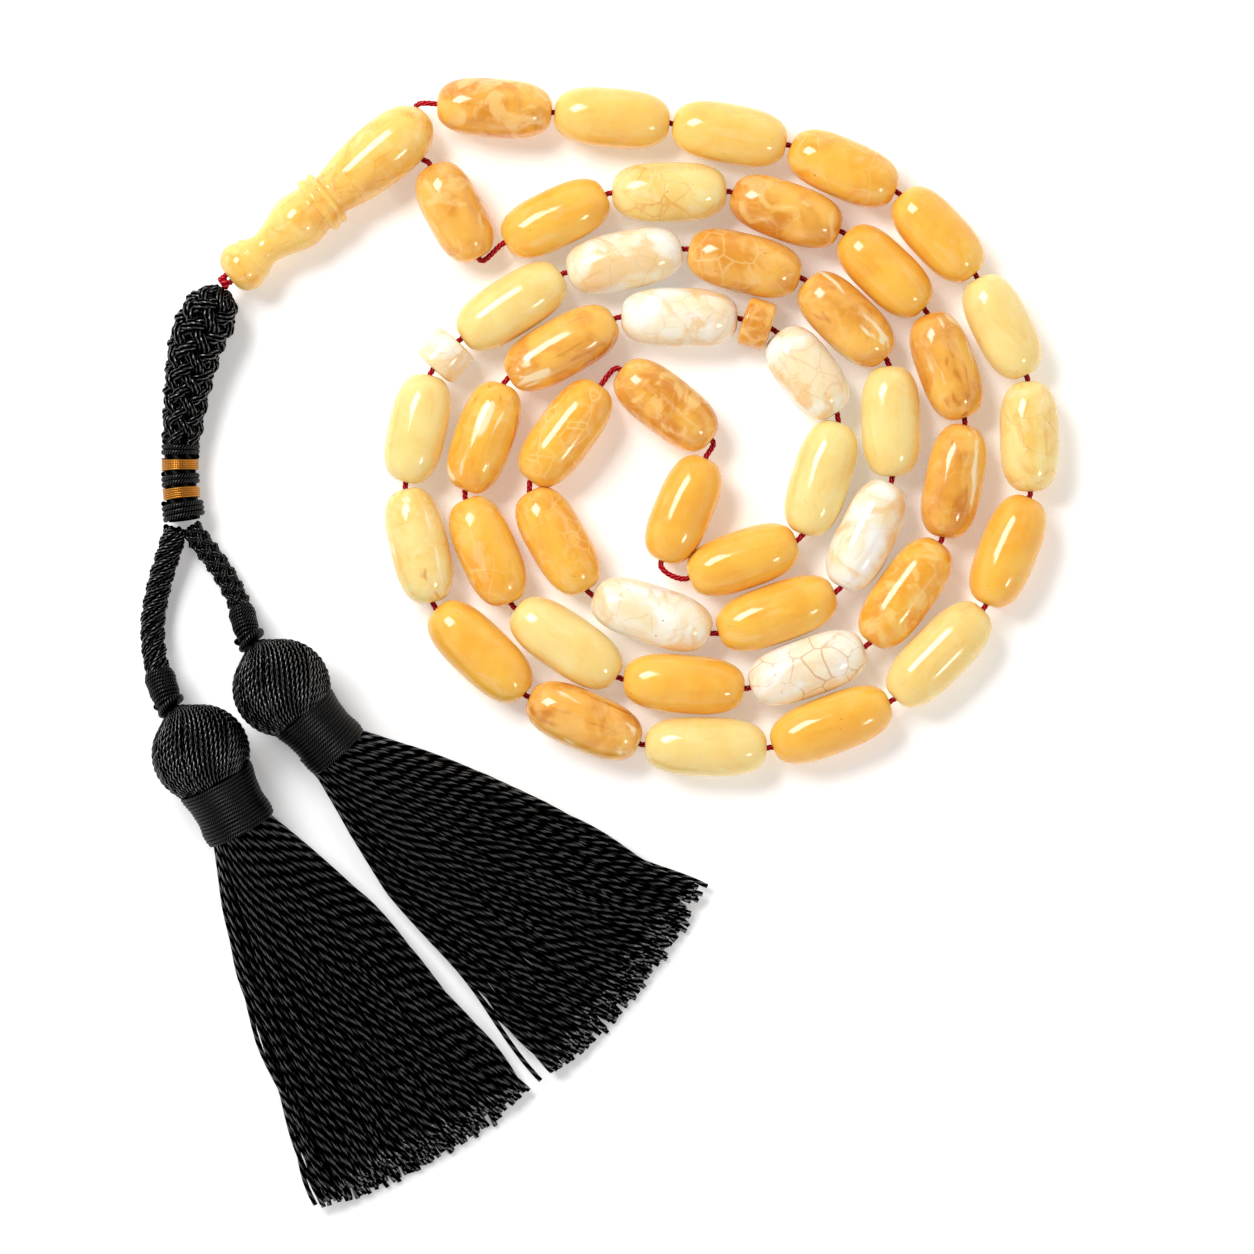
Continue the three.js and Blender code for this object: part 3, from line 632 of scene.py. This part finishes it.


# Mercerised black thread: almost black, with small bright dashes of painted highlight on the top of each ply,
# where it would face the light. The core that packs each piece stays dull, and close windings shine a little,
# partly from a faint painted highlight.
black_core = thread_material("packed_black_thread", "#010101", "#040405", 7, 2.6, 0.6, 1.2, 0.05 * MM)
black_strand = thread_material("braided_black_strand", "#010101", "#101012", 5, 1.6, 0.25, 1.5,
                               0.08 * MM)
black_thread = thread_material("twisted_black_thread", "#010101", "#1A1A1D", 2, 2.3, 0.25, 1.7,
                               0.12 * MM)
black_winding = thread_material("wound_black_thread", "#010101", "#101012", 3, 0.4, 0.3, 1.4,
                                0.03 * MM)
# Metallised gilt thread: gold on top of the turns, with brown painted shade between them.
gilt_thread = thread_material("wound_gilt_thread", "#9A5A16", "#F0B050", 2, 0.35, 0.3, 1.45,
                              0.02 * MM)
gilt_thread.node_tree.nodes["Principled BSDF"].inputs["Metallic"].default_value = 1.0

stem_route = route_through([BRAID_TOP, *STEM_ROUTE])
braid_route = part_of(stem_route, *BRAID_SPAN, PATH_STEP)
braid_run = run_along(braid_route[None])[0] / MM
stem_radius = np.interp(braid_run, BRAID_PLACES, BRAID_RADII)
strand_radius = 0.29 * stem_radius
braid_core = tubes("stem_core", braid_route[None], 0.66 * stem_radius, 16)
attach(braid_core, black_core, "stem", "thread_black")
mean_radius = stem_radius - strand_radius - 0.1 * MM
stem_paths = braided(braid_route, mean_radius, BRAID_CARRIERS, BRAID_PITCH, 0.11 * stem_radius)
stem_plies = twisted(stem_paths, 3, 0.44 * strand_radius, BRAID_LAY)
stem_braid = tubes("stem_strands", stem_plies, 0.54 * strand_radius, 8)
attach(stem_braid, black_strand, "stem", "thread_black", "stem_braid")
core_start, core_end, core_radius = BINDING_CORE
core_route = part_of(stem_route, core_start, core_end, 0.5 * MM)
binding_core = tubes("binding_core", core_route[None], core_radius, 20)
attach(binding_core, black_core, "stem", "thread_black")
for count, (start, end, radius) in enumerate(BLACK_BINDINGS):
    route = part_of(stem_route, (start + BINDING_INSET) * MM, (end - BINDING_INSET) * MM)
    winding = coiled(route, radius * MM, BINDING_THREAD)
    binding = tubes(f"stem_binding_{count}", winding, BINDING_THREAD, 10)
    attach(binding, black_winding, "stem", "thread_black")
for name, (start, end) in GOLD_BANDS.items():
    route = part_of(stem_route, start * MM, end * MM)
    band = tubes(f"{name}_wound", coiled(route, BAND_RADIUS, GOLD_THREAD), GOLD_THREAD, 8)
    attach(band, gilt_thread, "stem", "band_gold", name)

# ---- Legs ----
# The left leg is a rope of four twisted strands and the right one a thin round braid. Both end in
# a thread binding and a knot above the tassel's head.
HEAD_CENTRES = {"left": (-61.5, -15.8, 7.6), "right": (-49.3, -5.9, 7.6)}
LEG_RADII = {"left": 2.0 * MM, "right": 1.7 * MM}
# The radius of a strand as a share of its leg's radius.
STRAND_SHARES = {"left": 0.42, "right": 0.34}
ROPE_LAY = 9.5 * MM
LEG_BRAID_PITCH = 9 * MM
STRAND_LAY = 2.6 * MM
NECK_OVERLAP = 1.9
BINDING_LENGTH = 6.5 * MM
BINDING_SWELL = np.array([0.1, 0.45, 0.3, 0.35, 0.05, 0.25]) * MM
FINE_THREAD = 0.3 * MM
LEG_KNOT_RADIUS = 2.45 * MM
LEG_KNOT_THREAD = 0.5 * MM
for side_name, points in LEG_ROUTES.items():
    body = f"leg_{side_name}"
    radius = LEG_RADII[side_name]
    neck = np.array(points[-1])
    to_head = np.array(HEAD_CENTRES[side_name]) - neck
    top = np.array(points[0]) + 0.35 * (np.array(points[0]) - np.array(points[1]))
    points = [top, *points, neck + NECK_OVERLAP * to_head / np.linalg.norm(to_head)]
    route = route_through(points, 0.25 * MM)
    length = run_along(route[None])[0, -1]
    rope_route = part_of(route, 0, length - 3 * MM, PATH_STEP)
    if side_name == "left":
        strands = twisted(rope_route[None], 4, 0.6 * radius, ROPE_LAY)
    else:
        mean_radius = np.full(len(rope_route), 0.62 * radius)
        strands = braided(rope_route, mean_radius, 4, LEG_BRAID_PITCH, 0.2 * radius)
    thickness = STRAND_SHARES[side_name] * radius
    plies = twisted(strands, 3, 0.42 * thickness, STRAND_LAY)
    leg = tubes(f"{body}_strands", plies, 0.55 * thickness, 8)
    core = tubes(f"{body}_core", rope_route[None], 0.6 * radius, 12)
    attach(core, black_core, body, "thread_black")
    attach(leg, black_strand, body, "thread_black", body)
    wound = part_of(route, length - BINDING_LENGTH, length - 0.6 * MM)
    winding = coiled(wound, radius + BINDING_SWELL, FINE_THREAD)
    binding = tubes(f"{body}_binding", winding, FINE_THREAD, 8)
    attach(binding, black_winding, body, "thread_black")
    wound_core = tubes(f"{body}_binding_core", wound[::5][None], radius - 0.2 * MM, 16)
    attach(wound_core, black_core, body, "thread_black")
    knot_route = part_of(route, length - 1.5 * MM, length - 0.4 * MM, 0.05 * MM)
    knot_turns = coiled(knot_route, LEG_KNOT_RADIUS, LEG_KNOT_THREAD)
    leg_knot = tubes(f"{body}_knot", knot_turns, LEG_KNOT_THREAD, 10)
    attach(leg_knot, black_winding, body, "thread_black")

# ---- Tassels ----
# Heads are balls covered with threads laid pole to pole on a slight skew, collars are wound
# thread, and each skirt is a flat fan of several hundred twisted threads with cut ends.
HEAD_RADIUS = 7.6 * MM
HEAD_THREADS = 62
HEAD_PLY = 0.21 * MM
HEAD_LAY = 2.2 * MM
# Turn of a thread about the head for each radian from the pole.
HEAD_SKEW = 0.45
HEAD_CORE_RADIUS = 7.05 * MM
HEAD_CORE_REACH = 6.9 * MM
TASSEL_HEADINGS = {"left": -62.5, "right": -49.0}
COLLAR_DIP = math.radians(8.5)
COLLAR_RADII = {"left": 5.75 * MM, "right": 5.25 * MM}
COLLAR_SPAN = (4.5 * MM, 13.2 * MM)
COLLAR_SWELL = np.array([0.4, 0.35, 0.1, -0.1, -0.15, -0.25, -0.2, 0.0, 0.0, -0.2]) * MM
COLLAR_WALL = 0.75 * MM
SKIRT_START = 14.4 * MM
SKIRT_HEADINGS = {"left": -60.5, "right": -38.7}
SKIRT_LENGTH = 56.0 * MM
SKIRT_THREADS = 330
SKIRT_THREAD = 0.36 * MM
SKIRT_STEPS = 44
SKIRT_SEEDS = {"left": 7, "right": 8}
STRAY_REACH = 6.0 * MM
# Half width, base and height of the fan, as [share of its length, half width, base, height].
SKIRT_FAN = np.array([
    [-0.09, 4.1, 2.0, 9.6], [-0.02, 4.6, 0.9, 9.8], [0.14, 8.2, 0, 9.2], [0.32, 11.5, 0, 8.4],
    [0.5, 13.6, 0, 7.8], [0.68, 15.3, 0, 7.2], [0.85, 17.1, 0, 6.6], [1.0, 18.9, 0, 5.6],
])


def skirt_paths(start, bearing, rng):
    """Threads spread evenly over a disc by the golden angle: radius sqrt(k / n), angle 2.39996 k.
    At a share of the length, disc x goes to x * half width aside, and disc y to a height of
    base + (height - base) (y + 0.75) / 1.75, never below the base."""
    k = np.arange(SKIRT_THREADS) + 0.5
    x = np.sqrt(k / SKIRT_THREADS) * np.cos(2.39996 * k)
    lift = np.clip((np.sqrt(k / SKIRT_THREADS) * np.sin(2.39996 * k) + 0.75) / 1.75, 0, 1)
    ends = 1.0 - 0.075 * lift + rng.normal(0, 0.005, len(k)) + 0.02 * (1 - x**2)
    share = SKIRT_FAN[0, 0] + (ends[:, None] - SKIRT_FAN[0, 0]) * np.linspace(0, 1, SKIRT_STEPS)
    half_width, base, height = (np.interp(share, SKIRT_FAN[:, 0], SKIRT_FAN[:, c]) * MM
                                for c in (1, 2, 3))
    phase = rng.uniform(0, 2 * math.pi, (len(k), 1))
    pace = rng.uniform(1.0, 2.6, (len(k), 1))
    sway = np.clip(share, 0, 1) * np.sin(2 * math.pi * pace * share + phase) * 0.8 * MM
    stray = STRAY_REACH * (rng.random(len(k)) > 0.8) * np.clip(np.abs(x) - 0.8, 0, None) * np.sign(x)
    aside = x[:, None] * half_width + sway + stray[:, None] * np.clip(share, 0, 1) ** 2
    rise = base + SKIRT_THREAD + (height - base - 2 * SKIRT_THREAD) * lift[:, None]
    rise += np.clip(share, 0, 1) * np.cos(2 * math.pi * pace * share + phase) * 0.25 * MM
    rise = np.maximum(rise, base + SKIRT_THREAD)
    out = share * SKIRT_LENGTH
    way = np.array([math.cos(bearing), math.sin(bearing), 0.0])
    across = np.array([-way[1], way[0], 0.0])
    ground = start * np.array([1.0, 1.0, 0.0])
    return ground + out[..., None] * way + aside[..., None] * across + rise[..., None] * UP


for side_name in ("left", "right"):
    body = f"tassel_{side_name}"
    centre = np.array(HEAD_CENTRES[side_name]) * MM + SHIFT
    bearing = math.radians(TASSEL_HEADINGS[side_name])
    axis = np.array([math.cos(bearing), math.sin(bearing), -math.tan(COLLAR_DIP)])
    axis /= np.linalg.norm(axis)

    neck = np.array(joint_of[body]["pos_m"])
    pole = (neck - centre) / np.linalg.norm(neck - centre)
    flank = np.cross(pole, UP)
    flank /= np.linalg.norm(flank)
    polar = np.linspace(math.radians(5), math.radians(150), 96)
    around = 2 * math.pi * np.arange(HEAD_THREADS)[:, None] / HEAD_THREADS + HEAD_SKEW * polar
    spokes = np.cos(around)[..., None] * flank + np.sin(around)[..., None] * np.cross(flank, pole)
    ball = (HEAD_RADIUS - 0.5 * MM + 1.1 * MM * np.exp(-(polar / 0.3)**2))[:, None]
    paths = centre + ball * (np.cos(polar)[:, None] * pole + np.sin(polar)[:, None] * spokes)
    thinned = HEAD_PLY * np.clip(np.sin(polar), 0.3, 1) ** 0.5
    plies = twisted(paths, 2, thinned, HEAD_LAY)
    head = tubes(f"head_{side_name}_threads", plies, 1.05 * thinned, 6)
    attach(head, black_thread, body, "thread_black", f"head_{side_name}")
    place = np.linspace(-1, 1, 24)
    core_line = centre + place[:, None] * HEAD_CORE_REACH * axis
    core_radius = HEAD_CORE_RADIUS * np.sqrt(1.002 - place**2)
    core = tubes(f"head_{side_name}_core", core_line[None], core_radius, 32)
    attach(core, black_core, body, "thread_black")

    line = centre + np.linspace(*COLLAR_SPAN, 60)[:, None] * axis
    radius = COLLAR_RADII[side_name]
    winding = coiled(line, radius + COLLAR_SWELL, FINE_THREAD)
    collar = tubes(f"collar_{side_name}_wound", winding, FINE_THREAD, 8)
    attach(collar, black_winding, body, "thread_black", f"collar_{side_name}")
    core = tubes(f"collar_{side_name}_core", line[::4][None], radius - COLLAR_WALL, 32)
    attach(core, black_core, body, "thread_black")

    rng = np.random.default_rng(SKIRT_SEEDS[side_name])
    start = centre + SKIRT_START * axis
    paths = skirt_paths(start, math.radians(SKIRT_HEADINGS[side_name]), rng)
    skirt = tubes(f"skirt_{side_name}_threads", paths, SKIRT_THREAD, 6)
    attach(skirt, black_thread, body, "thread_black", f"skirt_{side_name}")
